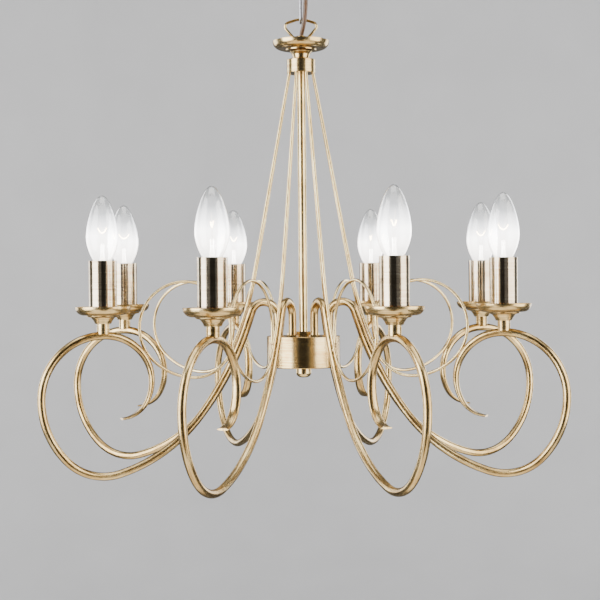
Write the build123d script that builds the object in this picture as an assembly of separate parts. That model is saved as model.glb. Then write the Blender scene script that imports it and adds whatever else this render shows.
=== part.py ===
"""Eight-arm candle chandelier that hangs from a ceiling fitting.

The row frame has its origin at the ceiling, in the middle of the bracket's top face, with +Z up.
Everything below the ceiling fitting is drawn with z = 0 at the hub's top plate, then lowered.
Each arm is drawn in a radial plane, x outwards from the stem, and turned to its place.
All sizes are in millimetres.
"""
from math import atan2, cos, degrees, pi, radians, sin, sqrt, tan
import os
from build123d import *

# Overall layout
ARM_COUNT = 8
FIRST_ARM_DEG = 22.5
HUB_DROP = 414.0

# Arms: a bent round tube with a solid tail that is pressed flatter towards its free end
ARM_D = 8.5
ARM_WALL = 1.0
ARM_ROOT_RADIUS = 31.0
ARM_ROOT_Z = -12.0
CROOK_START_Z = 22.0
CROOK_RADIUS = 16.0
CROOK_TURN = 160.0
CROOK_STRAIGHT = 18.5
DESCENT_BENDS = ((330.0, 18.0), (171.0, 37.0), (58.0, 60.0), (92.0, 45.0))
LOOP_RADIUS = 65.5
LOOP_PAST_TOP = 6.0
TAIL_BENDS = ((51.0, 54.0), (46.5, 60.0), (32.0, 58.0))
TAIL_SECTIONS = ((9.2, 7.4), (10.4, 4.8), (12.0, 2.2))
WIRE_HOLE_D = 4.4

# Scroll rods: from the collar down along each arm, then round in an open circle
ROD_D = 3.2
ROD_TOP_RADIUS = 12.6
ROD_TOP_Z = 298.0
ROD_HEADING = -78.85
ROD_STRAIGHT = 235.8
ROD_BENDS = (
    (318.0, 12.0),
    (340.0, 4.3),
    (40.5, 63.7),
    (70.0, 42.5),
    (48.0, 95.9),
    (51.5, 109.5),
    (52.0, 37.4),
)

# Hub
HUB_D = 81.0
HUB_H = 31.3
HUB_WALL = 1.5
HUB_EDGE = 0.6
COVER_D = 82.4
COVER_T = 3.0
COVER_EDGE = 1.2
SPIGOT_H = 4.0
SPIGOT_WALL = 1.5
SPIGOT_CLEARANCE = 0.1
FINIAL_D = 17.0
FINIAL_H = 11.5
FINIAL_NOSE = 5.5
FINIAL_EDGE = 1.0
FINIAL_STUD_D = 6.2
FINIAL_STUD_TOP_Z = -22.0
ARM_NUT_AF = 11.0
ARM_NUT_H = 4.0
ARM_LOCK_NUT_H = 2.2
STEM_NUT_AF = 14.0
STEM_NUT_H = 5.0
TERMINAL_RING_D = 34.0
TERMINAL_RING_BORE = 10.4
TERMINAL_RING_H = 10.0
TERMINAL_Z = -20.0

# Stem, collar, dish and hanging loop
STEM_D = 9.4
STEM_BORE = 6.4
STEM_BOTTOM_Z = -27.0
STEM_TOP_Z = 322.0
COLLAR_D = 31.6
COLLAR_BOTTOM_Z = 290.3
COLLAR_H = 15.2
COLLAR_EDGE = 0.7
DISH_TOP_Z = 325.7
DISH_D = 62.4
LID_INSET = 1.4
LID_DEPTH = 1.2
LID_T = 1.0
LID_CLEARANCE = 0.1
LOOP_NUT_D = 11.0
LOOP_NUT_BOTTOM_Z = 318.0
LOOP_NUT_TOP_Z = 331.4
LOOP_NUT_BORE = 6.6
LOOP_NUT_EDGE = 0.8
LOOP_WIRE_D = 3.0
LOOP_PIN_Z = 328.4
LOOP_PIN_END = 3.3
LOOP_FOOT = 6.8
LOOP_SHOULDER = (20.8, 344.2)
LOOP_PEAK_Z = 351.0
LOOP_FOOT_BEND = 1.9
LOOP_SHOULDER_BEND = 4.6
LOOP_PEAK_BEND = 22.0
PIN_CLEARANCE = 0.05

# Chain link and ceiling fitting, whose heights are below the ceiling
RUN_CLEARANCE = 0.3
CORD_END_GAP = 0.6
LINK_WIRE_D = 3.2
LINK_CENTRES = 36.0
LINK_HALF_WIDTH = 5.6
EYE_WIRE_D = 4.0
EYE_RADIUS = 8.0
EYE_SHANK_D = 6.0
EYE_SHANK_TOP_Z = -0.6
EYE_NUT_AF = 10.0
EYE_NUT_H = 5.0
BRACKET_LENGTH = 88.0
BRACKET_WIDTH = 18.0
BRACKET_T = 2.0
BRACKET_TAB = 16.0
CEILING_HOLE_SPACING = 54.0
CEILING_HOLE_D = 5.0
CANOPY_D = 94.0
CANOPY_H = 28.0
CANOPY_WALL = 1.2
CANOPY_EDGE = 6.0
CANOPY_HOLE_D = 30.0
CANOPY_SCREW_Z = -9.0
CANOPY_SCREW_D = 4.0
CANOPY_SCREW_HEAD_D = 8.0
CANOPY_SCREW_HEAD_H = 3.5
CANOPY_SCREW_EDGE = 0.6
TERMINAL_BLOCK = (22.0, 12.0, 9.0)
TERMINAL_BLOCK_BEHIND = 3.0

# Candle, from the arm upwards
SPACER_D = 13.2
SPACER_H = 8.0
SADDLE_DEPTH = 2.6
SADDLE_CLEARANCE = 0.05
PAN_D = 57.6
PAN_H = 17.8
PAN_SEAT = 9.4
PAN_FLOOR_T = 1.2

# Stepped outline of a pan or dish as (radius, depth below the rim); the bowl's are (inset, depth)
BOWL_LIP = (0.1, 1.6)
BOWL_TURN = (2.6, 6.4)
BOWL_UNDER = (9.0, 8.8)
BOWL_INNER_LIP = (1.1, 1.6)
BOWL_INNER_TURN = (3.4, 5.6)
BOWL_INNER_FLOOR = (9.4, 7.6)
STEP_OUTSIDE = ((17.2, 9.0), (16.8, 10.2), (12.4, 11.4), (10.0, 14.4))
STEP_FOOT_RADIUS = 8.4
STEP_INSIDE = ((8.8, 14.2), (10.9, 11.4), (11.2, PAN_SEAT), (15.4, PAN_SEAT), (15.4, 7.8))
STEP_FOOT_INNER_RADIUS = 7.0
NIPPLE_D = 9.6
NIPPLE_BORE = 6.4
NIPPLE_IN_SPACER = 5.0
NIPPLE_IN_HOLDER = 4.0
THREAD_CLEARANCE = 0.05
SLEEVE_D = 29.4
SLEEVE_WALL = 0.8
SLEEVE_ABOVE_RIM = 48.0
HOLDER_D = 25.6
HOLDER_BORE = 14.6
HOLDER_WELL_D = 18.0
HOLDER_FLOOR_T = 3.0
HOLDER_BELOW_SLEEVE = 4.2
CONTACT_D = 8.0
CONTACT_T = 0.8
CAP_D = 14.0
CAP_H = 22.0
CAP_WALL = 0.5
INSULATOR_H = 3.2
BUTTON_D = 6.0
BUTTON_H = 1.4
BULB_D = 33.6
BULB_H = 68.0
BULB_WIDEST_H = 24.3
BULB_NECK_D = 13.6
BULB_NECK_DEPTH = 4.0
BULB_SHOULDER_INSET = 5.1
BULB_SHOULDER_H = 2.5
BULB_LOWER_PULL = 10.0
BULB_UPPER_PULL = 17.0
BULB_TIP_PULL = 8.2
GLASS_WALL = 0.8

# Supply cord and inner leads
CORD_D = 4.8
STEM_LEAD_D = 4.6
ARM_LEAD_D = 2.4
ARM_LEAD_BEND = 5.0
HUB_LEAD_BEND = 6.0
RADIUS_SHARE = 0.45
CORD_ROUTE = (
    (0.0, 0.0, 326.0),
    (0.5, -0.9, 333.0),
    (2.9, -4.8, 340.5),
    (4.4, -8.6, 349.0),
    (5.5, -9.6, 360.0),
    (5.8, -9.4, 373.0),
    (6.4, -9.2, 386.0),
    (8.4, -9.0, 398.0),
)

ARM_ANGLES = [FIRST_ARM_DEG + index * 360.0 / ARM_COUNT for index in range(ARM_COUNT)]
LOWER = Pos(0, 0, -HUB_DROP)


def revolved(*outline):
    """A solid of revolution about Z from a closed outline of (radius, z) points."""
    points = [(radius, 0, z) for radius, z in outline]
    return revolve(make_face(Polyline(*points, close=True)), Axis.Z)


def disc(diameter, z_low, z_high, x=0.0, y=0.0):
    """An upright cylinder between two heights."""
    return Pos(x, y, (z_low + z_high) / 2) * Cylinder(diameter / 2, z_high - z_low)


def tube(diameter, bore, z_low, z_high):
    """An upright round tube between two heights."""
    return disc(diameter, z_low, z_high) - disc(bore, z_low - 1, z_high + 1)


def hex_nut(across_flats, bore, z_low, z_high):
    """An upright hexagonal nut."""
    blank = extrude(RegularPolygon(across_flats / sqrt(3), 6), z_high - z_low)
    return Pos(0, 0, z_low) * blank - disc(bore, z_low - 1, z_high + 1)


def around(piece, radius=0.0):
    """One copy of a piece at each arm's angle, moved outwards by radius."""
    return [Rot(0, 0, angle) * Pos(radius, 0, 0) * piece for angle in ARM_ANGLES]


def heading(way):
    """A unit direction in the radial plane, from degrees; 0 is outwards and 90 is up."""
    return Vector(cos(radians(way)), 0, sin(radians(way)))


def bend(start, way, radius, turn):
    """An arc in the radial plane, tangent to a heading; a positive turn is anticlockwise."""
    side = 1 if turn > 0 else -1
    centre = start + heading(way + 90 * side) * radius
    middle = centre + heading(way - 90 * side + turn / 2) * radius
    end = centre + heading(way - 90 * side + turn) * radius
    return ThreePointArc(start, middle, end), end, way + turn


def bend_chain(start, way, bends):
    """Tangent arcs one after another, with the last point and the last heading."""
    edges = []
    point = start
    for radius, turn in bends:
        edge, point, way = bend(point, way, radius, turn)
        edges.append(edge)
    return edges, point, way


def swept_rod(diameter, path, start, direction):
    """A round bar along a path."""
    return sweep(Plane(start, z_dir=direction) * Circle(diameter / 2), path=path)


def arm_descent():
    """The arm's edges from the crook to the top of its loop, with that top point."""
    crook_start = Vector(ARM_ROOT_RADIUS, 0, CROOK_START_Z)
    crook, crook_end, way = bend(crook_start, 90, CROOK_RADIUS, -CROOK_TURN)
    descent_start = crook_end + heading(way) * CROOK_STRAIGHT
    to_top = 180 - way - sum(turn for radius, turn in DESCENT_BENDS)
    bends = DESCENT_BENDS + ((LOOP_RADIUS, to_top),)
    edges, top, way = bend_chain(descent_start, way, bends)
    return [crook, Line(crook_end, descent_start)] + edges, top


DESCENT_EDGES, LOOP_TOP = arm_descent()
LAMP_RADIUS = LOOP_TOP.X
PAN_BOTTOM_Z = LOOP_TOP.Z + ARM_D / 2 + SPACER_H
PAN_RIM_Z = PAN_BOTTOM_Z + PAN_H
SLEEVE_BOTTOM_Z = PAN_RIM_Z - PAN_SEAT
SLEEVE_TOP_Z = PAN_RIM_Z + SLEEVE_ABOVE_RIM
CAP_TOP_Z = SLEEVE_TOP_Z - BULB_NECK_DEPTH
CAP_BOTTOM_Z = CAP_TOP_Z - CAP_H
CONTACT_Z = CAP_BOTTOM_Z - INSULATOR_H - BUTTON_H
LOOP_PEAK_SLOPE = atan2(LOOP_PEAK_Z - LOOP_SHOULDER[1], LOOP_SHOULDER[0])
LOOP_TOP_Z = LOOP_PEAK_Z - LOOP_PEAK_BEND * (1 / cos(LOOP_PEAK_SLOPE) - 1)
LINK_BOTTOM_Z = LOOP_TOP_Z - (LOOP_WIRE_D + LINK_WIRE_D) / 2 - RUN_CLEARANCE
LINK_TOP_Z = LINK_BOTTOM_Z + LINK_CENTRES
EYE_BOTTOM_Z = LINK_TOP_Z - (LINK_WIRE_D + EYE_WIRE_D) / 2 - RUN_CLEARANCE


def arm():
    """One arm: a hollow round tube and, past the top of its loop, a solid flattened tail."""
    root = Vector(ARM_ROOT_RADIUS, 0, ARM_ROOT_Z)
    over, tail_start, way = bend(LOOP_TOP, 180, LOOP_RADIUS, LOOP_PAST_TOP)
    leg = Line(root, Vector(ARM_ROOT_RADIUS, 0, CROOK_START_Z))
    path = Wire([leg] + DESCENT_EDGES + [over])
    start = Plane(root, x_dir=(1, 0, 0), z_dir=(0, 0, 1))
    pipe = sweep(start * (Circle(ARM_D / 2) - Circle(ARM_D / 2 - ARM_WALL)), path=path)
    pipe -= disc(WIRE_HOLE_D, LOOP_TOP.Z, LOOP_TOP.Z + ARM_D, LAMP_RADIUS)
    edges = []
    point = tail_start
    section = Plane(point, x_dir=(0, 1, 0), z_dir=heading(way)) * Circle(ARM_D / 2)
    sections = [section.face()]
    for (radius, turn), (width, thickness) in zip(TAIL_BENDS, TAIL_SECTIONS):
        edge, point, way = bend(point, way, radius, turn)
        station = Plane(point, x_dir=(0, 1, 0), z_dir=heading(way))
        edges.append(edge)
        sections.append((station * Ellipse(width / 2, thickness / 2)).face())
    return pipe + Solid.sweep_multi(sections, Wire(edges))


def scroll_rod():
    """One rod, straight from the collar, laid along the arm and then bent into a scroll."""
    start = Vector(ROD_TOP_RADIUS, 0, ROD_TOP_Z)
    bend_start = start + heading(ROD_HEADING) * ROD_STRAIGHT
    edges, end, way = bend_chain(bend_start, ROD_HEADING, ROD_BENDS)
    return swept_rod(ROD_D, Wire([Line(start, bend_start)] + edges), start, heading(ROD_HEADING))


def arm_lead():
    """The twin wire from the hub's terminal ring, through the arm, up to the lampholder."""
    edge_radius = TERMINAL_RING_D / 2
    start = Vector(edge_radius, 0, TERMINAL_Z)
    corner = Vector(ARM_ROOT_RADIUS - HUB_LEAD_BEND, 0, TERMINAL_Z)
    turn_up, leg_start, way = bend(corner, 0, HUB_LEAD_BEND, 90)
    leg = Line(leg_start, Vector(ARM_ROOT_RADIUS, 0, CROOK_START_Z))
    last_arc = DESCENT_EDGES[-1]
    stop_share = 1 - ARM_LEAD_BEND / last_arc.length
    kept = last_arc.trim(0, stop_share)
    way = way_of(kept % 1)
    turn_out, riser_start, way = bend(kept @ 1, way, ARM_LEAD_BEND, 90 - way)
    riser = Line(riser_start, Vector(riser_start.X, 0, SLEEVE_BOTTOM_Z + HOLDER_FLOOR_T))
    path = Wire([Line(start, corner), turn_up, leg] + DESCENT_EDGES[:-1] + [kept, turn_out, riser])
    return swept_rod(ARM_LEAD_D, path, start, (1, 0, 0))


def way_of(direction):
    """The heading, in degrees, of a direction in the radial plane."""
    return degrees(atan2(direction.Z, direction.X)) % 360


def stepped_pan(rim_d, rim_z, hole_r, height):
    """A round pan or dish: a curved bowl on a narrower step that tapers to its foot."""
    rim = rim_d / 2
    foot_z = rim_z - height

    def at(radius, depth):
        return (radius, 0, rim_z - depth)

    def bowl(inset, depth):
        return at(rim - inset, depth)

    outer_arc = ThreePointArc(bowl(*BOWL_LIP), bowl(*BOWL_TURN), bowl(*BOWL_UNDER))
    inner_arc = ThreePointArc(bowl(*BOWL_INNER_FLOOR), bowl(*BOWL_INNER_TURN), bowl(*BOWL_INNER_LIP))
    below = [at(radius, depth) for radius, depth in STEP_OUTSIDE]
    above = [at(radius, depth) for radius, depth in STEP_INSIDE]
    foot = [
        (STEP_FOOT_RADIUS, 0, foot_z),
        (hole_r, 0, foot_z),
        (hole_r, 0, foot_z + PAN_FLOOR_T),
        (STEP_FOOT_INNER_RADIUS, 0, foot_z + PAN_FLOOR_T),
    ]
    steps = Polyline(bowl(*BOWL_UNDER), *below, *foot, *above, bowl(*BOWL_INNER_FLOOR))
    lip = Polyline(bowl(*BOWL_INNER_LIP), bowl(BOWL_INNER_LIP[0], 0), bowl(0, 0), bowl(*BOWL_LIP))
    outline = [outer_arc] + list(steps.edges()) + [inner_arc] + list(lip.edges())
    return revolve(make_face(outline), Axis.Z)


def candle_parts():
    """The fixed pieces of one candle, on the arm's axis, by node name."""
    spacer = disc(SPACER_D, LOOP_TOP.Z + ARM_D / 2 - SADDLE_DEPTH, PAN_BOTTOM_Z)
    saddle = Cylinder(ARM_D / 2 + SADDLE_CLEARANCE, 3 * SPACER_D)
    spacer -= Pos(0, 0, LOOP_TOP.Z) * Rot(0, 90, 0) * saddle
    spacer -= disc(NIPPLE_BORE, LOOP_TOP.Z, PAN_BOTTOM_Z + 1)
    spacer -= disc(NIPPLE_D + 2 * THREAD_CLEARANCE, PAN_BOTTOM_Z - NIPPLE_IN_SPACER, PAN_BOTTOM_Z + 1)
    nipple_top = SLEEVE_BOTTOM_Z + NIPPLE_IN_HOLDER
    nipple = tube(NIPPLE_D, NIPPLE_BORE, PAN_BOTTOM_Z - NIPPLE_IN_SPACER, nipple_top)
    hole_r = NIPPLE_D / 2 + THREAD_CLEARANCE
    pan = stepped_pan(PAN_D, PAN_RIM_Z, hole_r, PAN_H)
    sleeve = tube(SLEEVE_D, SLEEVE_D - 2 * SLEEVE_WALL, SLEEVE_BOTTOM_Z, SLEEVE_TOP_Z)
    well_floor = CONTACT_Z - CONTACT_T
    holder = disc(HOLDER_D, SLEEVE_BOTTOM_Z, SLEEVE_TOP_Z - HOLDER_BELOW_SLEEVE)
    holder -= disc(2 * hole_r, SLEEVE_BOTTOM_Z - 1, SLEEVE_BOTTOM_Z + NIPPLE_IN_HOLDER)
    holder -= disc(HOLDER_WELL_D, SLEEVE_BOTTOM_Z + NIPPLE_IN_HOLDER, well_floor - HOLDER_FLOOR_T)
    holder -= disc(HOLDER_BORE, well_floor, SLEEVE_TOP_Z)
    contact = disc(CONTACT_D, well_floor, CONTACT_Z)
    return {
        "pan_spacers": spacer,
        "lamp_nipples": nipple,
        "drip_pans": pan,
        "candle_sleeves": sleeve,
        "lampholders": holder,
        "holder_contacts": contact,
    }


def bulb_shape(wall):
    """The solid inside the candle bulb's profile, moved inwards by wall."""
    neck = BULB_NECK_D / 2 - wall
    widest = BULB_D / 2 - wall
    tip_z = SLEEVE_TOP_Z + BULB_H - wall
    widest_z = SLEEVE_TOP_Z + BULB_WIDEST_H
    lower = Bezier(
        (neck, 0, CAP_TOP_Z),
        (widest - BULB_SHOULDER_INSET, 0, SLEEVE_TOP_Z + BULB_SHOULDER_H),
        (widest, 0, widest_z - BULB_LOWER_PULL),
        (widest, 0, widest_z),
    )
    upper = Bezier(
        (widest, 0, widest_z),
        (widest, 0, widest_z + BULB_UPPER_PULL),
        (BULB_TIP_PULL, 0, tip_z),
        (0, 0, tip_z),
    )
    closing = Polyline((0, 0, tip_z), (0, 0, CAP_TOP_Z), (neck, 0, CAP_TOP_Z))
    return revolve(make_face([lower, upper] + list(closing.edges())), Axis.Z)


def bulb_parts():
    """The three nodes of one screw-in candle bulb, on the arm's axis."""
    glass = bulb_shape(0) - bulb_shape(GLASS_WALL)
    cap = tube(CAP_D, CAP_D - 2 * CAP_WALL, CAP_BOTTOM_Z, CAP_TOP_Z)
    insulator = revolved(
        (0, CAP_BOTTOM_Z),
        (CAP_D / 2 - CAP_WALL, CAP_BOTTOM_Z),
        (BUTTON_D / 2, CAP_BOTTOM_Z - INSULATOR_H),
        (0, CAP_BOTTOM_Z - INSULATOR_H),
    )
    button = disc(BUTTON_D, CONTACT_Z, CAP_BOTTOM_Z - INSULATOR_H)
    return {"bulb_glass": glass, "bulb_cap": cap, "bulb_contact": insulator + button}


def hub_parts():
    """The hub's shell, cover, finial, nuts and terminal ring, by node name."""
    shell = disc(HUB_D, -HUB_H, 0) - disc(HUB_D - 2 * HUB_WALL, -HUB_H - 1, -HUB_WALL)
    shell = fillet(shell.edges().group_by(Axis.Z)[-1], HUB_EDGE)
    shell -= disc(STEM_D + 2 * THREAD_CLEARANCE, -HUB_H, 1)
    for hole in around(disc(ARM_D + 2 * THREAD_CLEARANCE, -HUB_H, 1), ARM_ROOT_RADIUS):
        shell -= hole
    spigot_d = HUB_D - 2 * (HUB_WALL + SPIGOT_CLEARANCE)
    cover = disc(COVER_D, -HUB_H - COVER_T, -HUB_H)
    cover = fillet(cover.edges().group_by(Axis.Z)[0], COVER_EDGE)
    cover += tube(spigot_d, spigot_d - 2 * SPIGOT_WALL, -HUB_H, -HUB_H + SPIGOT_H)
    cover -= disc(FINIAL_STUD_D + 2 * THREAD_CLEARANCE, -HUB_H - COVER_T - 1, 0)
    finial_top = -HUB_H - COVER_T
    finial = disc(FINIAL_D, finial_top - FINIAL_H, finial_top)
    finial = fillet(finial.edges().group_by(Axis.Z)[0], FINIAL_NOSE)
    finial = fillet(finial.edges().group_by(Axis.Z)[-1], FINIAL_EDGE)
    finial += disc(FINIAL_STUD_D, finial_top, FINIAL_STUD_TOP_Z)
    below = hex_nut(ARM_NUT_AF, ARM_D + 2 * THREAD_CLEARANCE, -HUB_WALL - ARM_NUT_H, -HUB_WALL)
    above = hex_nut(ARM_NUT_AF, ARM_D + 2 * THREAD_CLEARANCE, 0, ARM_LOCK_NUT_H)
    stem_bore = STEM_D + 2 * THREAD_CLEARANCE
    lower_nut = hex_nut(STEM_NUT_AF, stem_bore, -HUB_WALL - STEM_NUT_H, -HUB_WALL)
    upper_nut = hex_nut(STEM_NUT_AF, stem_bore, 0, STEM_NUT_H)
    half_ring = TERMINAL_RING_H / 2
    ring = tube(TERMINAL_RING_D, TERMINAL_RING_BORE, TERMINAL_Z - half_ring, TERMINAL_Z + half_ring)
    return {
        "hub_shell": [shell],
        "hub_cover": [cover],
        "hub_finial": [finial],
        "arm_nuts": around(below, ARM_ROOT_RADIUS) + around(above, ARM_ROOT_RADIUS),
        "stem_nuts": [lower_nut, upper_nut],
        "terminal_ring": [ring],
    }


def stem_parts():
    """The stem, the rods' collar, the top dish and the loop nut, by node name."""
    stem = tube(STEM_D, STEM_BORE, STEM_BOTTOM_Z, STEM_TOP_Z)
    collar = disc(COLLAR_D, COLLAR_BOTTOM_Z, COLLAR_BOTTOM_Z + COLLAR_H)
    collar = fillet(collar.edges().filter_by(GeomType.CIRCLE), COLLAR_EDGE)
    collar -= disc(STEM_D + 2 * THREAD_CLEARANCE, COLLAR_BOTTOM_Z - 1, COLLAR_BOTTOM_Z + COLLAR_H + 1)
    socket_start = Vector(ROD_TOP_RADIUS, 0, ROD_TOP_Z)
    socket = Plane(socket_start, z_dir=heading(ROD_HEADING)) * Circle(ROD_D / 2 + THREAD_CLEARANCE)
    for hole in around(extrude(socket, 3 * ROD_D)):
        collar -= hole
    dish_h = DISH_TOP_Z - COLLAR_BOTTOM_Z - COLLAR_H
    hole_r = STEM_D / 2 + THREAD_CLEARANCE
    dish = stepped_pan(DISH_D, DISH_TOP_Z, hole_r, dish_h)
    lid_z = DISH_TOP_Z - LID_DEPTH
    lid = tube(DISH_D - 2 * LID_INSET, LOOP_NUT_D + 2 * LID_CLEARANCE, lid_z - LID_T, lid_z)
    nut = disc(LOOP_NUT_D, LOOP_NUT_BOTTOM_Z, LOOP_NUT_TOP_Z)
    nut = fillet(nut.edges().group_by(Axis.Z)[-1], LOOP_NUT_EDGE)
    nut -= disc(STEM_D + 2 * THREAD_CLEARANCE, LOOP_NUT_BOTTOM_Z - 1, STEM_TOP_Z)
    nut -= disc(LOOP_NUT_BORE, LOOP_NUT_BOTTOM_Z, LOOP_NUT_TOP_Z + 1)
    pin_hole = Cylinder(LOOP_WIRE_D / 2 + PIN_CLEARANCE, 2 * LOOP_NUT_D)
    nut -= Pos(0, 0, LOOP_PIN_Z) * Rot(0, 90, 0) * pin_hole
    return {
        "stem_tube": [stem],
        "rod_collar": [collar],
        "top_dish": [dish],
        "dish_lid": [lid],
        "loop_nut": [nut],
    }


def hanging_loop():
    """The wire loop whose inturned ends pivot in the loop nut."""
    shoulder_x, shoulder_z = LOOP_SHOULDER
    right = [(shoulder_x, 0, shoulder_z), (LOOP_FOOT, 0, LOOP_PIN_Z), (LOOP_PIN_END, 0, LOOP_PIN_Z)]
    left = [(-x, y, z) for x, y, z in reversed(right)]
    side = [LOOP_FOOT_BEND, LOOP_SHOULDER_BEND]
    radii = side + [LOOP_PEAK_BEND] + side[::-1]
    path = FilletPolyline(*left, (0, 0, LOOP_PEAK_Z), *right, radius=radii)
    return swept_rod(LOOP_WIRE_D, path, left[0], (-1, 0, 0))


def chain_link():
    """The oval link between the hanging loop and the ceiling eye."""
    low = LINK_BOTTOM_Z + LINK_HALF_WIDTH
    high = LINK_TOP_Z - LINK_HALF_WIDTH
    near = -LINK_HALF_WIDTH
    far = LINK_HALF_WIDTH
    path = Wire([
        Line((0, near, low), (0, near, high)),
        ThreePointArc((0, near, high), (0, 0, LINK_TOP_Z), (0, far, high)),
        Line((0, far, high), (0, far, low)),
        ThreePointArc((0, far, low), (0, 0, LINK_BOTTOM_Z), (0, near, low)),
    ])
    return swept_rod(LINK_WIRE_D, path, (0, near, low), (0, 0, 1))


def ceiling_parts():
    """The bracket, eye bolt, canopy, screws and terminal block, below the ceiling at z = 0."""
    bracket = Pos(0, 0, -BRACKET_T / 2) * Box(BRACKET_LENGTH, BRACKET_WIDTH, BRACKET_T)
    tab_x = (BRACKET_LENGTH - BRACKET_T) / 2
    for side in (-1, 1):
        bracket += Pos(side * tab_x, 0, -BRACKET_TAB / 2) * Box(BRACKET_T, BRACKET_WIDTH, BRACKET_TAB)
        bracket -= disc(CEILING_HOLE_D, -2 * BRACKET_T, BRACKET_T, side * CEILING_HOLE_SPACING / 2)
    cross_hole = Rot(0, 90, 0) * Cylinder(CANOPY_SCREW_D / 2 + THREAD_CLEARANCE, 2 * CANOPY_D)
    bracket -= disc(EYE_SHANK_D + 2 * THREAD_CLEARANCE, -2 * BRACKET_T, BRACKET_T)
    bracket -= Pos(0, 0, CANOPY_SCREW_Z) * cross_hole
    eye_z = EYE_BOTTOM_Z - HUB_DROP + EYE_RADIUS
    eye = Pos(0, 0, eye_z) * Rot(90, 0, 0) * Torus(EYE_RADIUS, EYE_WIRE_D / 2)
    eye += disc(EYE_SHANK_D, eye_z + EYE_RADIUS, EYE_SHANK_TOP_Z)
    nut_top = -BRACKET_T
    eye_nut = hex_nut(EYE_NUT_AF, EYE_SHANK_D + 2 * THREAD_CLEARANCE, nut_top - EYE_NUT_H, nut_top)
    canopy = disc(CANOPY_D, -CANOPY_H, 0)
    canopy = fillet(canopy.edges().group_by(Axis.Z)[0], CANOPY_EDGE)
    inside = disc(CANOPY_D - 2 * CANOPY_WALL, -CANOPY_H + CANOPY_WALL, 1)
    canopy -= fillet(inside.edges().group_by(Axis.Z)[0], CANOPY_EDGE - CANOPY_WALL)
    canopy -= disc(CANOPY_HOLE_D, -CANOPY_H - 1, 0)
    canopy -= Pos(0, 0, CANOPY_SCREW_Z) * cross_hole
    rim = CANOPY_D / 2
    shank = rim - BRACKET_LENGTH / 2 + 2 * BRACKET_T
    screw = Pos(rim - shank / 2, 0, 0) * Rot(0, 90, 0) * Cylinder(CANOPY_SCREW_D / 2, shank)
    head = Rot(0, 90, 0) * Cylinder(CANOPY_SCREW_HEAD_D / 2, CANOPY_SCREW_HEAD_H)
    screw += Pos(rim + CANOPY_SCREW_HEAD_H / 2, 0, 0) * fillet(head.edges(), CANOPY_SCREW_EDGE)
    screws = [Rot(0, 0, angle) * Pos(0, 0, CANOPY_SCREW_Z) * screw for angle in (0, 180)]
    cord_x, cord_y, cord_z = CORD_ROUTE[-1]
    block_z = cord_z + CORD_END_GAP - HUB_DROP + TERMINAL_BLOCK[2] / 2
    block = Pos(cord_x, cord_y - TERMINAL_BLOCK_BEHIND, block_z) * Box(*TERMINAL_BLOCK)
    return {
        "ceiling_bracket": [bracket],
        "ceiling_eye": [eye],
        "eye_nut": [eye_nut],
        "ceiling_canopy": [canopy],
        "canopy_screws": screws,
        "ceiling_terminal": [block],
    }


def supply_cord():
    """The cord from the loop nut up into the canopy: straight runs with tangent arcs."""
    points = [Vector(*point) for point in CORD_ROUTE]
    radii = []
    for before, point, after in zip(points, points[1:], points[2:]):
        turn = (point - before).get_angle(after - point)
        shorter = min((point - before).length, (after - point).length)
        radii.append(RADIUS_SHARE * shorter / tan(radians(turn) / 2))
    print("supply_cord bend radii:", [round(radius, 1) for radius in radii])
    path = FilletPolyline(*points, radius=radii)
    cord = swept_rod(CORD_D, path, points[0], points[1] - points[0])
    expected = pi * CORD_D ** 2 / 4 * path.length
    print("supply_cord volume share:", round(cord.volume / expected, 3), "length", round(path.length, 1))
    return cord


def write(name, solids):
    """Write one node's STEP file from a list of solids."""
    pieces = [piece for solid in solids for piece in solid.solids()]
    shape = pieces[0] if len(pieces) == 1 else Compound(children=pieces)
    export_step(shape, os.path.join("parts", name + ".step"))


def lowered(solids):
    """The same solids, hung at the hub's height below the ceiling."""
    return [LOWER * solid for solid in solids]


os.makedirs("parts", exist_ok=True)

for name, solids in ceiling_parts().items():
    write(name, solids)
write("chain_link", lowered([chain_link()]))
write("hanging_loop", lowered([hanging_loop()]))
write("supply_cord", lowered([supply_cord()]))

for name, solids in {**stem_parts(), **hub_parts()}.items():
    write(name, lowered(solids))

stem_lead = disc(STEM_LEAD_D, TERMINAL_Z, CORD_ROUTE[0][2] - CORD_END_GAP)
write("inner_leads", lowered([stem_lead] + around(arm_lead())))
write("scroll_rods", lowered(around(scroll_rod())))

for name, piece in candle_parts().items():
    write(name, lowered(around(piece, LAMP_RADIUS)))

for number, solid in enumerate(around(arm()), 1):
    write("arm_" + str(number), lowered([solid]))

for name, piece in bulb_parts().items():
    for number, solid in enumerate(around(piece, LAMP_RADIUS), 1):
        write(name + "_" + str(number), lowered([solid]))

print("joint heights in the row frame, mm")
print("eye wire", round(EYE_BOTTOM_Z - HUB_DROP, 3), "link wire", round(LINK_BOTTOM_Z - HUB_DROP, 3))
print("loop pins", round(LOOP_PIN_Z - HUB_DROP, 3), "lamp radius", round(LAMP_RADIUS, 3))
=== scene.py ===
"""The visual model of an eight-arm candle chandelier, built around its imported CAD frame.

Lengths are in metres in the row frame: the origin is at the ceiling and +Z is up.
"""
import math
from math import cos, pi, radians, sin

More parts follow.
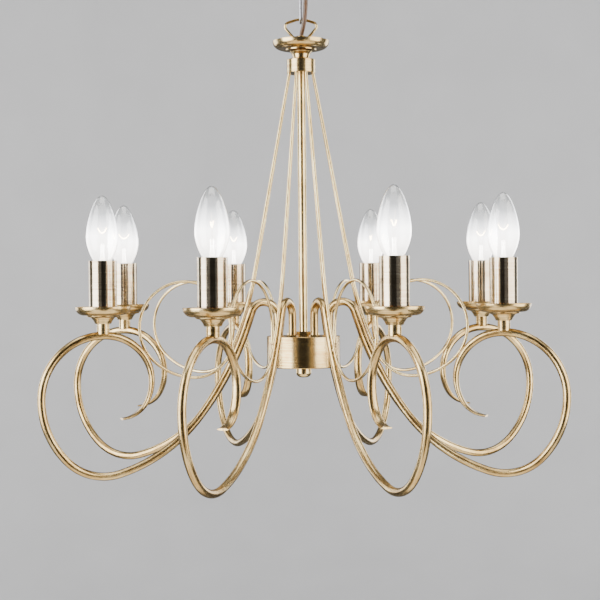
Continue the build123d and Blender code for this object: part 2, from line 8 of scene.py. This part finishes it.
import bpy
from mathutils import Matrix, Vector


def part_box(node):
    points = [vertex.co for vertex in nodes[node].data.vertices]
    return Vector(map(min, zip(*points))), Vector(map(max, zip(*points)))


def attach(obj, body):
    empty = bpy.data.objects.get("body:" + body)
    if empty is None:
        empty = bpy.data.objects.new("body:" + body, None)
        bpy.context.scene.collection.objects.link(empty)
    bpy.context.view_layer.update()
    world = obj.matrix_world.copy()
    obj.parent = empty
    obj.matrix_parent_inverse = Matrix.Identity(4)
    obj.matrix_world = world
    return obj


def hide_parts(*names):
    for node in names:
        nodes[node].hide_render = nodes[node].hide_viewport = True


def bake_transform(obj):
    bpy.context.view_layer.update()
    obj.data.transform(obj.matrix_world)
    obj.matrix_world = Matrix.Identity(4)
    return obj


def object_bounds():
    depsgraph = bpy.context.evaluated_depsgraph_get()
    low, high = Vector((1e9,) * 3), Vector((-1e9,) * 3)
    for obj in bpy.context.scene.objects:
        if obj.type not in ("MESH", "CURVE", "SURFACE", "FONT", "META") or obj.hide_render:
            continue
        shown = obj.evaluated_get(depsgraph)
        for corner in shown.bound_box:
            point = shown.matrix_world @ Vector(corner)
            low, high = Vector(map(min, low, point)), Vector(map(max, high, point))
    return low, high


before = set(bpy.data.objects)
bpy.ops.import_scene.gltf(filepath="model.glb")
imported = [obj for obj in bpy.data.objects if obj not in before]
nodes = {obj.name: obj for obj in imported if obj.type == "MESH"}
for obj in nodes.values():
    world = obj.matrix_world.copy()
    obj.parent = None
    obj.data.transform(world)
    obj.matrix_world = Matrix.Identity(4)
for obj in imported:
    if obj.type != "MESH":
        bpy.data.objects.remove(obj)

MM = 0.001
cad_low, cad_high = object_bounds()

# Places read from the frame
ARM_COUNT = 8
FIRST_ARM = radians(22.5)
SECTOR = 2 * pi / ARM_COUNT
HUB_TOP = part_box("hub_shell")[1].z
glass_low, glass_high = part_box("bulb_glass_1")
cap_low, cap_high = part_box("bulb_cap_1")
glass_middle = (glass_low + glass_high) / 2
LAMP_RADIUS = math.hypot(glass_middle.x, glass_middle.y)

# Camera: at the height of the candles, a little high and turned slightly on its axis
CAMERA_DISTANCE = 1.492
CAMERA_ABOVE_HUB = 0.0565
CAMERA_SIDE = -0.0033
CAMERA_PITCH = radians(-0.64)
CAMERA_ROLL = radians(0.5)
CAMERA_LENS = 80.8

# Supply cord: its route's points are those of its solid, and its two runs part level with the link's middle
CORD_DIAMETER = 0.0048
CORD_SIDES = 24
CORD_POINTS = (
    (0.0, 0.0, -0.088),
    (0.0005, -0.0009, -0.081),
    (0.0029, -0.0048, -0.0735),
    (0.0044, -0.0086, -0.065),
    (0.0055, -0.0096, -0.054),
    (0.0058, -0.0094, -0.041),
    (0.0064, -0.0092, -0.028),
    (0.0084, -0.0090, -0.016),
)

# Studio
FLOOR_DROP = 1.3
COVE_RADIUS = 4.5
COVE_BEND = 1.6
COVE_HEIGHT = 9.0
CARD_Y = -0.80
CARD_LEFT = -0.24
CARD_RIGHT = 0.21
CARD_LOW = -1.2
CARD_HIGH = 0.6
WASH_COUNT = 4
WASH_REACH = 1.2
WASH_HEIGHT = 1.5
WASH_AIM = 5.0
PAINT_DARK = (0.60, 0.60, 0.605)
PAINT_PALE = (0.63, 0.63, 0.635)
CARD_DARK = (0.003, 0.003, 0.003)
CARD_PALE = (0.005, 0.005, 0.005)


# ---------------------------------------------------------------- mesh helpers

def link_object(name, data):
    """A new object in the scene."""
    piece = bpy.data.objects.new(name, data)
    bpy.context.scene.collection.objects.link(piece)
    return piece


def mesh_object(name, points, faces, smooth=True):
    """A new mesh object from points and faces."""
    mesh = bpy.data.meshes.new(name)
    mesh.from_pydata(points, [], faces)
    mesh.update()
    mesh.shade_smooth() if smooth else mesh.shade_flat()
    return link_object(name, mesh)


def lathe(outline, centre, turns=48, closed=False):
    """Points and faces of a surface turned about an upright axis from (radius, z) points."""
    points = []
    faces = []
    rings = []
    for radius, z in outline:
        if radius < 1e-7:
            rings.append([len(points)] * turns)
            points.append((centre.x, centre.y, z))
            continue
        rings.append([len(points) + k for k in range(turns)])
        for k in range(turns):
            angle = 2 * pi * k / turns
            points.append((centre.x + radius * cos(angle), centre.y + radius * sin(angle), z))
    pairs = list(zip(rings, rings[1:]))
    if closed:
        pairs.append((rings[-1], rings[0]))
    for lower, upper in pairs:
        for k in range(turns):
            corner = [lower[k], lower[(k + 1) % turns], upper[(k + 1) % turns], upper[k]]
            face = list(dict.fromkeys(corner))
            if len(face) > 2:
                faces.append(face)
    return points, faces


def add_part(points, faces, part):
    """Append one part's points and faces to a list of points and faces."""
    offset = len(points)
    points.extend(part[0])
    faces.extend([[index + offset for index in face] for face in part[1]])


def wire(path, radius, sides=8):
    """Points and faces of a round wire along a path, with flat ends."""
    points = []
    faces = []
    count = len(path)
    side = None
    for index, place in enumerate(path):
        ahead = path[min(index + 1, count - 1)]
        behind = path[max(index - 1, 0)]
        along = (ahead - behind).normalized()
        if side is None:
            side = along.orthogonal().normalized()
        side = (side - along * side.dot(along)).normalized()
        up = along.cross(side)
        for k in range(sides):
            angle = 2 * pi * k / sides
            points.append(tuple(place + (side * cos(angle) + up * sin(angle)) * radius))
    for index in range(count - 1):
        for k in range(sides):
            low = index * sides
            high = low + sides
            after = (k + 1) % sides
            faces.append([low + k, low + after, high + after, high + k])
    faces.append(list(range(sides))[::-1])
    faces.append([(count - 1) * sides + k for k in range(sides)])
    return points, faces


def lamp_axis(number):
    """The point below a lamp, numbered from 1, at z = 0, and the direction outward to it."""
    angle = FIRST_ARM + (number - 1) * SECTOR
    outward = Vector((cos(angle), sin(angle), 0))
    return outward * LAMP_RADIUS, outward


# ------------------------------------------------------------ material helpers

def new_material(name):
    """An empty node material with its Principled shader."""
    material = bpy.data.materials.new(name)
    material.use_nodes = True
    return material, material.node_tree, material.node_tree.nodes["Principled BSDF"]


def math_node(tree, operation, first, second=None):
    """A math node's result; an argument is a socket or a number."""
    node = tree.nodes.new("ShaderNodeMath")
    node.operation = operation
    for socket, value in zip(node.inputs, (first, second)):
        if value is None:
            continue
        if isinstance(value, (int, float)):
            socket.default_value = value
        else:
            tree.links.new(value, socket)
    return node.outputs[0]


def combine(tree, x, y, z):
    """A vector from three sockets or numbers."""
    node = tree.nodes.new("ShaderNodeCombineXYZ")
    for socket, value in zip(node.inputs, (x, y, z)):
        if isinstance(value, (int, float)):
            socket.default_value = value
        else:
            tree.links.new(value, socket)
    return node.outputs[0]


def noise(tree, vector, scale, detail=3.0, roughness=0.55):
    """Noise from 0 to 1 at a vector."""
    node = tree.nodes.new("ShaderNodeTexNoise")
    node.inputs["Scale"].default_value = scale
    node.inputs["Detail"].default_value = detail
    node.inputs["Roughness"].default_value = roughness
    tree.links.new(vector, node.inputs["Vector"])
    return node.outputs["Fac"]


def spread(tree, value, low, high, to_low, to_high):
    """A value mapped from one range to another, clamped."""
    node = tree.nodes.new("ShaderNodeMapRange")
    for socket, number in zip(node.inputs[1:5], (low, high, to_low, to_high)):
        socket.default_value = number
    tree.links.new(value, node.inputs[0])
    return node.outputs[0]


def ramp(tree, value, stops):
    """A colour along a ramp of (position, colour) stops."""
    node = tree.nodes.new("ShaderNodeValToRGB")
    band = node.color_ramp
    while len(band.elements) < len(stops):
        band.elements.new(0.5)
    for element, (position, colour) in zip(band.elements, stops):
        element.position = position
        element.color = (*colour, 1)
    tree.links.new(value, node.inputs[0])
    return node.outputs[0]


def mix_colour(tree, share, first, second, blend="MIX"):
    """A mix of two colours; each is a socket or a colour."""
    node = tree.nodes.new("ShaderNodeMix")
    node.data_type = "RGBA"
    node.blend_type = blend
    for socket, value in ((node.inputs[0], share), (node.inputs[6], first), (node.inputs[7], second)):
        if isinstance(value, (int, float)):
            socket.default_value = value
        elif isinstance(value, tuple):
            socket.default_value = (*value, 1)
        else:
            tree.links.new(value, socket)
    return node.outputs[2]


def bump(tree, shader, height, strength, distance):
    """Drive the shader's normal from a height."""
    node = tree.nodes.new("ShaderNodeBump")
    node.inputs["Strength"].default_value = strength
    node.inputs["Distance"].default_value = distance
    tree.links.new(height, node.inputs["Height"])
    tree.links.new(node.outputs["Normal"], shader.inputs["Normal"])


def place_of(tree):
    """The row-frame position, with its three parts."""
    place = tree.nodes.new("ShaderNodeTexCoord").outputs["Object"]
    parts = tree.nodes.new("ShaderNodeSeparateXYZ")
    tree.links.new(place, parts.inputs[0])
    return place, parts.outputs[0], parts.outputs[1], parts.outputs[2]


def arm_place(tree):
    """Outward distance from the stem, sideways distance from the nearest arm's plane, and height."""
    place, x, y, z = place_of(tree)
    angle = math_node(tree, "ARCTAN2", y, x)
    steps = math_node(tree, "DIVIDE", math_node(tree, "SUBTRACT", angle, FIRST_ARM), SECTOR)
    turn = math_node(tree, "MULTIPLY", math_node(tree, "ROUND", steps), SECTOR)
    left = math_node(tree, "SUBTRACT", angle, math_node(tree, "ADD", turn, FIRST_ARM))
    flat = math_node(tree, "SQRT", math_node(
        tree, "ADD", math_node(tree, "MULTIPLY", x, x), math_node(tree, "MULTIPLY", y, y)))
    outward = math_node(tree, "MULTIPLY", flat, math_node(tree, "COSINE", left))
    sideways = math_node(tree, "MULTIPLY", flat, math_node(tree, "SINE", left))
    return place, outward, sideways, z


def turned_place(tree, radius):
    """Distance from an upright axis at a radius from the stem, with the height."""
    place, outward, sideways, z = arm_place(tree)
    across = math_node(tree, "SUBTRACT", outward, radius)
    from_axis = math_node(tree, "SQRT", math_node(
        tree, "ADD", math_node(tree, "MULTIPLY", across, across), math_node(tree, "MULTIPLY", sideways, sideways)))
    return place, from_axis, z


# ------------------------------------------------------------------ materials

BRASS_DEEP = (0.17, 0.095, 0.034)
BRASS_MID = (0.47, 0.32, 0.13)
BRASS_LIGHT = (0.78, 0.62, 0.33)
PATINA = (0.055, 0.03, 0.014)
TONE_STOPS = (0.30, 0.47, 0.66)
LINE_SHARE = 0.62
CLOUD_SCALE = 38.0
SPOT_SCALE = 900.0
RING_SCALE = 1500.0
STREAK_SCALE = 1300.0
SLOW_SCALE = 30.0
WANDER_SCALE = 26.0
BRASS_TONES = (BRASS_DEEP, BRASS_MID, BRASS_LIGHT)
SLEEVE_TONES = ((0.30, 0.22, 0.14), (0.56, 0.45, 0.31), (0.84, 0.74, 0.58))


def brass(tree, brush, place, depth, shift, roughness, tones):
    """Antique brass, brushed along lines of equal brush value, with clouds of darker lacquer."""
    clouds = noise(tree, place, CLOUD_SCALE, 4.0)
    lines = noise(tree, brush, 1.0, 4.0, 0.7)
    fine = noise(tree, brush, 3.7, 2.0, 0.6)
    line_part = math_node(tree, "MULTIPLY", lines, LINE_SHARE)
    cloud_part = math_node(tree, "MULTIPLY", clouds, 1 - LINE_SHARE)
    tone = math_node(tree, "ADD", math_node(tree, "ADD", line_part, cloud_part), shift)
    colour = ramp(tree, tone, tuple(zip(TONE_STOPS, tones)))
    shader = tree.nodes["Principled BSDF"]
    spots = spread(tree, noise(tree, place, SPOT_SCALE, 2.0), 0.68, 0.82, 0.0, 0.4)
    tree.links.new(mix_colour(tree, spots, colour, PATINA), shader.inputs["Base Color"])
    shader.inputs["Metallic"].default_value = 1.0
    tree.links.new(spread(tree, fine, 0.3, 0.7, *roughness), shader.inputs["Roughness"])
    bump(tree, shader, math_node(tree, "ADD", lines, fine), 0.5, depth)


def turned_brass(name, radius, depth=0.00003, shift=0.0, roughness=(0.13, 0.24), tones=BRASS_TONES):
    """Brass brushed in rings about upright axes at a radius from the stem."""
    material, tree, shader = new_material(name)
    place, from_axis, z = turned_place(tree, radius)
    around = math_node(tree, "MULTIPLY", from_axis, RING_SCALE)
    rings = combine(tree, around, 0.0, math_node(tree, "MULTIPLY", z, RING_SCALE))
    slow = tree.nodes.new("ShaderNodeVectorMath")
    slow.operation = "MULTIPLY_ADD"
    slow.inputs[1].default_value = (WANDER_SCALE,) * 3
    tree.links.new(place, slow.inputs[0])
    tree.links.new(rings, slow.inputs[2])
    brass(tree, slow.outputs[0], place, depth, shift, roughness, tones)
    return material


def drawn_brass(name, depth=0.00003, shift=0.0, roughness=(0.18, 0.32), tones=BRASS_TONES):
    """Brass streaked lengthwise, along the arms' planes."""
    material, tree, shader = new_material(name)
    place, outward, sideways, z = arm_place(tree)
    streaks = combine(
        tree,
        math_node(tree, "MULTIPLY", outward, SLOW_SCALE),
        math_node(tree, "MULTIPLY", sideways, STREAK_SCALE),
        math_node(tree, "MULTIPLY", z, SLOW_SCALE),
    )
    brass(tree, streaks, place, depth, shift, roughness, tones)
    return material


def plain_metal(name, dark, light, roughness, scale=260.0):
    """Plated metal with a slight mottle and fine scratches."""
    material, tree, shader = new_material(name)
    place = place_of(tree)[0]
    mottle = noise(tree, place, scale, 5.0, 0.65)
    tree.links.new(ramp(tree, mottle, ((0.35, dark), (0.65, light))), shader.inputs["Base Color"])
    shader.inputs["Metallic"].default_value = 1.0
    tree.links.new(spread(tree, mottle, 0.3, 0.7, *roughness), shader.inputs["Roughness"])
    bump(tree, shader, noise(tree, place, 5 * scale, 3.0), 0.35, 0.00004)
    return material


def moulded(name, dark, light, roughness, grain=2600.0):
    """Moulded plastic with a fine grain."""
    material, tree, shader = new_material(name)
    place = place_of(tree)[0]
    clouds = noise(tree, place, 120.0, 3.0)
    tree.links.new(ramp(tree, clouds, ((0.3, dark), (0.7, light))), shader.inputs["Base Color"])
    tree.links.new(spread(tree, clouds, 0.3, 0.7, *roughness), shader.inputs["Roughness"])
    bump(tree, shader, noise(tree, place, grain, 2.0), 0.3, 0.00003)
    return material


def sheath():
    """The brown sheath of the supply cord, with a faint fine grain."""
    material, tree, shader = new_material("cord_sheath")
    place, x, y, z = place_of(tree)
    clouds = noise(tree, place, 300.0, 4.0)
    tone = ramp(tree, clouds, ((0.3, (0.055, 0.026, 0.011)), (0.7, (0.115, 0.055, 0.022))))
    tree.links.new(tone, shader.inputs["Base Color"])
    tree.links.new(spread(tree, clouds, 0.3, 0.7, 0.3, 0.42), shader.inputs["Roughness"])
    shader.inputs["Coat Weight"].default_value = 0.1
    bump(tree, shader, noise(tree, place, 1900.0, 3.0), 0.35, 0.00004)
    return material


# Painted glow on the glass: emission strength by share of the height between the glow's two heights
PAINTED_GLOW_PROFILE = ((0.0, 0.45), (0.25, 0.85), (0.45, 1.0), (0.64, 0.45), (0.82, 0.10), (1.0, 0.0))


def glass(name, glow, glow_from, glow_to):
    """Clear glass with a painted glow between two heights, standing in for the haze of its filament's light."""
    material, tree, shader = new_material(name)
    place, x, y, z = place_of(tree)
    shader.inputs["Base Color"].default_value = (0.97, 0.98, 0.98, 1)
    shader.inputs["Transmission Weight"].default_value = 1.0
    shader.inputs["IOR"].default_value = 1.48
    ripple = noise(tree, place, 60.0, 2.0)
    tree.links.new(spread(tree, ripple, 0.35, 0.65, 0.015, 0.05), shader.inputs["Roughness"])
    bump(tree, shader, ripple, 0.25, 0.0006)
    # Painted glow: the glass itself gives off light between the two heights, in place of the filament's haze
    if glow:
        rise = spread(tree, z, glow_from, glow_to, 0.0, 1.0)
        light = ramp(tree, rise, tuple((share, (level, level, level)) for share, level in PAINTED_GLOW_PROFILE))
        tree.links.new(math_node(tree, "MULTIPLY", light, glow), shader.inputs["Emission Strength"])
        tint = ramp(tree, rise, ((0.2, (1.0, 0.93, 0.86)), (0.8, (0.95, 0.96, 1.0))))
        tree.links.new(tint, shader.inputs["Emission Color"])
    return material


def hot_filament():
    """Glowing tungsten coil."""
    material, tree, shader = new_material("hot_filament")
    place = place_of(tree)[0]
    mottle = noise(tree, place, 1200.0, 2.0)
    shader.inputs["Base Color"].default_value = (0.3, 0.25, 0.2, 1)
    tint = ramp(tree, mottle, ((0.3, (1.0, 0.72, 0.42)), (0.7, (1.0, 0.86, 0.62))))
    tree.links.new(tint, shader.inputs["Emission Color"])
    shader.inputs["Emission Strength"].default_value = 60.0
    tree.links.new(spread(tree, mottle, 0.3, 0.7, 0.4, 0.6), shader.inputs["Roughness"])
    return material


stem_brass = turned_brass("stem_brass", 0.0, 0.000012, 0.02, (0.16, 0.26))
lamp_brass = turned_brass("lamp_brass", LAMP_RADIUS, 0.00002, 0.03, (0.2, 0.3))
sleeve_brass = turned_brass("sleeve_brass", LAMP_RADIUS, 0.000014, 0.0, (0.08, 0.15), SLEEVE_TONES)
arm_brass = drawn_brass("arm_brass")
rod_brass = drawn_brass("rod_brass", 0.00002, 0.10, (0.16, 0.28))
zinc = plain_metal("zinc_steel", (0.30, 0.31, 0.33), (0.55, 0.56, 0.58), (0.25, 0.42))
contact_metal = plain_metal("contact_brass", (0.6, 0.42, 0.2), (0.8, 0.6, 0.32), (0.2, 0.34))
cap_metal = plain_metal("cap_nickel", (0.52, 0.5, 0.46), (0.72, 0.7, 0.65), (0.2, 0.36), 400.0)
holder_plastic = moulded("holder_plastic", (0.62, 0.59, 0.52), (0.72, 0.69, 0.62), (0.38, 0.5))
terminal_plastic = moulded("terminal_plastic", (0.66, 0.67, 0.66), (0.76, 0.77, 0.76), (0.3, 0.42))
lead_plastic = moulded("lead_insulation", (0.14, 0.06, 0.03), (0.2, 0.09, 0.045), (0.3, 0.42))
vitrite = moulded("lamp_vitrite", (0.012, 0.012, 0.016), (0.03, 0.028, 0.035), (0.12, 0.22))
cord_brown = sheath()
# Both glasses carry a painted glow between two heights
bulb_glass = glass("bulb_glass", 1.6, glass_low.z + 0.002, glass_low.z + 0.064)
mount_glass = glass("mount_glass", 2.4, glass_low.z + 0.002, glass_low.z + 0.05)
tungsten = hot_filament()
lead_wire = plain_metal("lead_wire", (0.42, 0.38, 0.34), (0.6, 0.56, 0.5), (0.25, 0.4), 900.0)

NODE_MATERIALS = {
    "stem": (stem_brass, ("hub_shell", "hub_cover", "hub_finial", "rod_collar", "top_dish", "dish_lid",
                          "loop_nut", "ceiling_canopy", "canopy_screws", "stem_nuts")),
    "drawn": (rod_brass, ("stem_tube", "scroll_rods", "hanging_loop")),
    "arm": (arm_brass, tuple("arm_%d" % n for n in range(1, ARM_COUNT + 1))),
    "lamp": (lamp_brass, ("drip_pans", "pan_spacers", "arm_nuts")),
    "sleeve": (sleeve_brass, ("candle_sleeves",)),
    "zinc": (zinc, ("chain_link", "ceiling_eye", "eye_nut", "ceiling_bracket", "lamp_nipples")),
    "contact": (contact_metal, ("holder_contacts",)),
    "holder": (holder_plastic, ("lampholders",)),
    "terminal": (terminal_plastic, ("terminal_ring", "ceiling_terminal")),
    "lead": (lead_plastic, ("inner_leads",)),
    "cord": (cord_brown, ("supply_cord",)),
    "vitrite": (vitrite, tuple("bulb_contact_%d" % n for n in range(1, ARM_COUNT + 1))),
    "cap": (cap_metal, tuple("bulb_cap_%d" % n for n in range(1, ARM_COUNT + 1))),
    "glass": (bulb_glass, tuple("bulb_glass_%d" % n for n in range(1, ARM_COUNT + 1))),
}


def dress(piece, material):
    """Give every slot of a piece one material."""
    if not piece.data.materials:
        piece.data.materials.append(material)
    for index in range(len(piece.data.materials)):
        piece.data.materials[index] = material


for material, names in NODE_MATERIALS.values():
    for name in names:
        dress(nodes[name], material)
left_plain = sorted(set(nodes) - {name for material, names in NODE_MATERIALS.values() for name in names})
if left_plain:
    raise RuntimeError("no material for " + ", ".join(left_plain))


# ----------------------------------------------------------------------- cord

def cord_line():
    """The points of the smooth curve through the cord's route."""
    curve = bpy.data.curves.new("cord_line", "CURVE")
    curve.dimensions = "3D"
    curve.resolution_u = 12
    spline = curve.splines.new("NURBS")
    spline.points.add(len(CORD_POINTS) - 1)
    for point, place in zip(spline.points, CORD_POINTS):
        point.co = (*place, 1)
    spline.order_u = 3
    spline.use_endpoint_u = True
    line = link_object("cord_line", curve)
    bpy.context.view_layer.update()
    mesh = line.evaluated_get(bpy.context.evaluated_depsgraph_get()).to_mesh()
    places = [vertex.co.copy() for vertex in mesh.vertices]
    bpy.data.objects.remove(line)
    return places


def cord_piece(name, path):
    """One run of the cord, between two heights."""
    piece = mesh_object(name, *wire(path, CORD_DIAMETER / 2, CORD_SIDES))
    dress(piece, cord_brown)
    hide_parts("supply_cord")
    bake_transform(piece)


link_low, link_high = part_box("chain_link")
link_middle = (link_low.z + link_high.z) / 2
cord_path = cord_line()
parting = next(index for index, place in enumerate(cord_path) if place.z > link_middle)
cord_piece("cord_lower", cord_path[:parting + 1])
cord_piece("cord_upper", cord_path[parting:])


# ---------------------------------------------------------------------- lamps

STEM_OUTLINE = (
    (5.2, 1.0),
    (4.6, 2.2),
    (3.4, 4.6),
    (2.5, 8.0),
    (2.1, 12.0),
    (2.0, 17.0),
    (2.3, 19.5),
    (1.9, 21.5),
    (0.0, 22.2),
)
LAMP_TURN = 2.4
WIRE_SPLAY = 5.2 * MM
WIRE_TOP = 38.0 * MM
COIL_RADIUS = 0.7 * MM
COIL_TURNS = 34
COIL_SAG = 5.0 * MM


def glass_mount(number):
    """The flared glass stem that carries the filament's wires."""
    centre = lamp_axis(number)[0]
    outline = [(radius * MM, glass_low.z + z * MM) for radius, z in STEM_OUTLINE]
    points, faces = lathe(outline, centre, 24)
    return mesh_object("bulb_stem_%d" % number, points, faces)


def filament_frame(number):
    """The lamp's axis and the direction across its filament; each lamp stands at its own turn."""
    centre = lamp_axis(number)[0]
    turn = LAMP_TURN * number
    across = Vector((cos(turn), sin(turn), 0))
    return centre, across


def support_wires(number):
    """Two lead wires and a middle support."""
    centre, across = filament_frame(number)
    base = Vector((centre.x, centre.y, glass_low.z))
    points = []
    faces = []
    for side in (-1, 1):
        path = []
        for share in [k / 10 for k in range(11)]:
            reach = side * (0.8 * MM + WIRE_SPLAY * share ** 1.5)
            path.append(base + across * reach + Vector((0, 0, 16 * MM + (WIRE_TOP - 16 * MM) * share)))
        add_part(points, faces, wire(path, 0.22 * MM, 6))
    middle = [base + Vector((0, 0, 20 * MM)), base + Vector((0, 0, WIRE_TOP - COIL_SAG))]
    add_part(points, faces, wire(middle, 0.16 * MM, 6))
    return mesh_object("bulb_wires_%d" % number, points, faces)


def filament(number):
    """The glowing coil hung between the lead wires' tips."""
    centre, across = filament_frame(number)
    base = Vector((centre.x, centre.y, glass_low.z + WIRE_TOP))
    reach = WIRE_SPLAY + 0.8 * MM
    depth_way = Vector((0, 0, 1)).cross(across)
    path = []
    steps = COIL_TURNS * 8
    for k in range(steps + 1):
        share = 2 * k / steps - 1
        spin = 2 * pi * COIL_TURNS * k / steps
        sag = -COIL_SAG * (1 - share * share)
        curl = (depth_way * cos(spin) + Vector((0, 0, 1)) * sin(spin)) * COIL_RADIUS
        path.append(base + across * (share * reach) + Vector((0, 0, sag)) + curl)
    return mesh_object("filament_%d" % number, *wire(path, 0.18 * MM, 5))


CAP_OUTER = 7.0 * MM
CAP_INNER = 6.0 * MM
CAP_THREAD_DEPTH = 0.6 * MM
CAP_PITCH = 2.82 * MM
CAP_THREAD_FROM = 0.06
CAP_THREAD_TO = 0.80
CAP_FADE = 0.05
CAP_LEVELS = 72
CAP_LIFT = 0.1 * MM
CAP_SIDES = 48


def threaded_cap(number):
    """The rolled right-hand screw thread of one lamp's cap, open inside like its solid."""
    centre = lamp_axis(number)[0]
    bottom = cap_low.z + CAP_LIFT
    points = []
    faces = []
    levels = []
    for level in range(CAP_LEVELS + 1):
        share = level / CAP_LEVELS
        fade = min((share - CAP_THREAD_FROM) / CAP_FADE, (CAP_THREAD_TO - share) / CAP_FADE)
        depth = CAP_THREAD_DEPTH * min(max(fade, 0.0), 1.0)
        levels.append((CAP_OUTER, depth, bottom + share * (cap_high.z - bottom)))
    levels.append((CAP_INNER, 0.0, cap_high.z))
    levels.append((CAP_INNER, 0.0, bottom))
    for radius, depth, z in levels:
        for k in range(CAP_SIDES):
            angle = 2 * pi * k / CAP_SIDES
            phase = 2 * pi * (z - cap_low.z) / CAP_PITCH - angle
            reach = radius - depth * (0.5 - 0.5 * cos(phase))
            points.append((centre.x + reach * cos(angle), centre.y + reach * sin(angle), z))
    count = len(levels)
    for level in range(count):
        for k in range(CAP_SIDES):
            low = level * CAP_SIDES
            high = (level + 1) % count * CAP_SIDES
            after = (k + 1) % CAP_SIDES
            faces.append([low + k, low + after, high + after, high + k])
    return mesh_object("threaded_cap_%d" % number, points, faces)


for number in range(1, ARM_COUNT + 1):
    cap = threaded_cap(number)
    dress(cap, cap_metal)
    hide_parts("bulb_cap_%d" % number)
    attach(cap, "lamp_%d" % number)
    pieces = (
        (glass_mount(number), mount_glass),
        (support_wires(number), lead_wire),
        (filament(number), tungsten),
    )
    for piece, material in pieces:
        dress(piece, material)
        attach(piece, "lamp_%d" % number)


# --------------------------------------------------------------- solder beads

BEADS = ((69.6, 20.0), (82.4, -12.1), (179.8, -14.2))
BEAD_SIZE = (1.5, 2.0, 2.6)
BEAD_LEAN = radians(-68)


def solder_beads():
    """The beads that join each scroll rod to its arm, by radius and height from the hub's top."""
    points = []
    faces = []
    ball = lathe([(sin(pi * k / 8), cos(pi * k / 8)) for k in range(9)], Vector((0, 0, 0)), 12)
    for number in range(1, ARM_COUNT + 1):
        outward = lamp_axis(number)[1]
        sideways = Vector((0, 0, 1)).cross(outward)
        along = outward * cos(BEAD_LEAN) + Vector((0, 0, 1)) * sin(BEAD_LEAN)
        across = along.cross(sideways)
        for radius, height in BEADS:
            middle = outward * radius * MM + Vector((0, 0, HUB_TOP + height * MM))
            grown = []
            for x, y, z in ball[0]:
                reach = across * (x * BEAD_SIZE[0]) + sideways * (y * BEAD_SIZE[1])
                reach += along * (z * BEAD_SIZE[2])
                grown.append(tuple(middle + reach * MM))
            add_part(points, faces, (grown, ball[1]))
    return mesh_object("solder_beads", points, faces)


beads = solder_beads()
dress(beads, arm_brass)
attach(beads, "chandelier")


# --------------------------------------------------------------------- studio

def area_light(name, place, aim, width, height, power, colour=(1, 1, 1)):
    """A soft box at a place, facing a point, out of the camera's own sight."""
    light = bpy.data.lights.new(name, "AREA")
    light.shape = "RECTANGLE"
    light.size = width
    light.size_y = height
    light.energy = power
    light.color = colour
    lamp = link_object(name, light)
    lamp.location = place
    lamp.rotation_mode = "QUATERNION"
    lamp.rotation_quaternion = (Vector(aim) - Vector(place)).to_track_quat("-Z", "Y")
    lamp.visible_camera = False
    return lamp


def studio():
    """The pale floor with its wall, the dark card, the soft boxes and the even grey world."""
    middle = (cad_low + cad_high) / 2
    floor_z = cad_low.z - FLOOR_DROP
    outline = [(0.0, floor_z), (COVE_RADIUS, floor_z)]
    for k in range(1, 13):
        angle = radians(90) * k / 12
        outline.append((COVE_RADIUS + COVE_BEND * sin(angle), floor_z + COVE_BEND * (1 - cos(angle))))
    outline.append((COVE_RADIUS + COVE_BEND, floor_z + COVE_HEIGHT))
    floor = mesh_object("floor", *lathe(outline, Vector((0, 0, 0)), 96))
    material, tree, shader = new_material("studio_paint")
    place = place_of(tree)[0]
    tone = ramp(tree, noise(tree, place, 3.0, 2.0), ((0.3, PAINT_DARK), (0.7, PAINT_PALE)))
    tree.links.new(tone, shader.inputs["Base Color"])
    shader.inputs["Roughness"].default_value = 0.9
    dress(floor, material)
    floor.visible_glossy = False

    corners = [
        (CARD_LEFT, CARD_Y, CARD_LOW),
        (CARD_RIGHT, CARD_Y, CARD_LOW),
        (CARD_RIGHT, CARD_Y, CARD_HIGH),
        (CARD_LEFT, CARD_Y, CARD_HIGH),
    ]
    card = mesh_object("dark_card", corners, [[0, 1, 2, 3]], False)
    material, tree, shader = new_material("card_black")
    place = place_of(tree)[0]
    tone = ramp(tree, noise(tree, place, 20.0, 2.0), ((0.3, CARD_DARK), (0.7, CARD_PALE)))
    tree.links.new(tone, shader.inputs["Base Color"])
    shader.inputs["Roughness"].default_value = 1.0
    dress(card, material)
    card.visible_camera = False
    card.visible_diffuse = False
    card.visible_shadow = False
    card.visible_transmission = False

    area_light("box_left", (-1.12, -0.71, middle.z + 0.1), middle, 1.05, 1.7, 48.0)
    area_light("box_right", (1.16, -0.62, middle.z + 0.1), middle, 1.2, 1.7, 36.0, (1.0, 0.94, 0.84))
    area_light("box_low", (0, -0.55, -1.7), middle, 2.4, 2.0, 30.0, (1.0, 0.9, 0.76))
    area_light("box_top", (0, -0.2, 1.3), middle, 1.6, 1.6, 30.0)
    area_light("box_back_left", (-1.5, 1.3, middle.z + 0.2), middle, 1.2, 1.5, 22.0)
    area_light("box_back_right", (1.3, 1.5, middle.z + 0.2), middle, 1.0, 1.5, 20.0)
    for number in range(WASH_COUNT):
        angle = 2 * pi * number / WASH_COUNT
        way = Vector((sin(angle), cos(angle), 0))
        place = way * WASH_REACH + Vector((0, 0, WASH_HEIGHT))
        wash = area_light("wall_wash_%d" % (number + 1), place, way * WASH_AIM + middle, 3.0, 1.2, 150.0)
        wash.visible_glossy = False

    world = bpy.data.worlds.new("studio_world")
    world.use_nodes = True
    world.node_tree.nodes["Background"].inputs["Color"].default_value = (0.8, 0.82, 0.85, 1)
    world.node_tree.nodes["Background"].inputs["Strength"].default_value = 0.22
    bpy.context.scene.world = world


def camera():
    """The camera at the photograph's viewing angle."""
    data = bpy.data.cameras.new("camera")
    data.lens = CAMERA_LENS
    data.sensor_width = 36.0
    data.clip_start = 0.05
    data.clip_end = 60.0
    seen_from = link_object("camera", data)
    seen_from.location = (CAMERA_SIDE, -CAMERA_DISTANCE, HUB_TOP + CAMERA_ABOVE_HUB)
    seen_from.rotation_euler = (radians(90) + CAMERA_PITCH, CAMERA_ROLL, 0)
    bpy.context.scene.camera = seen_from


studio()
camera()
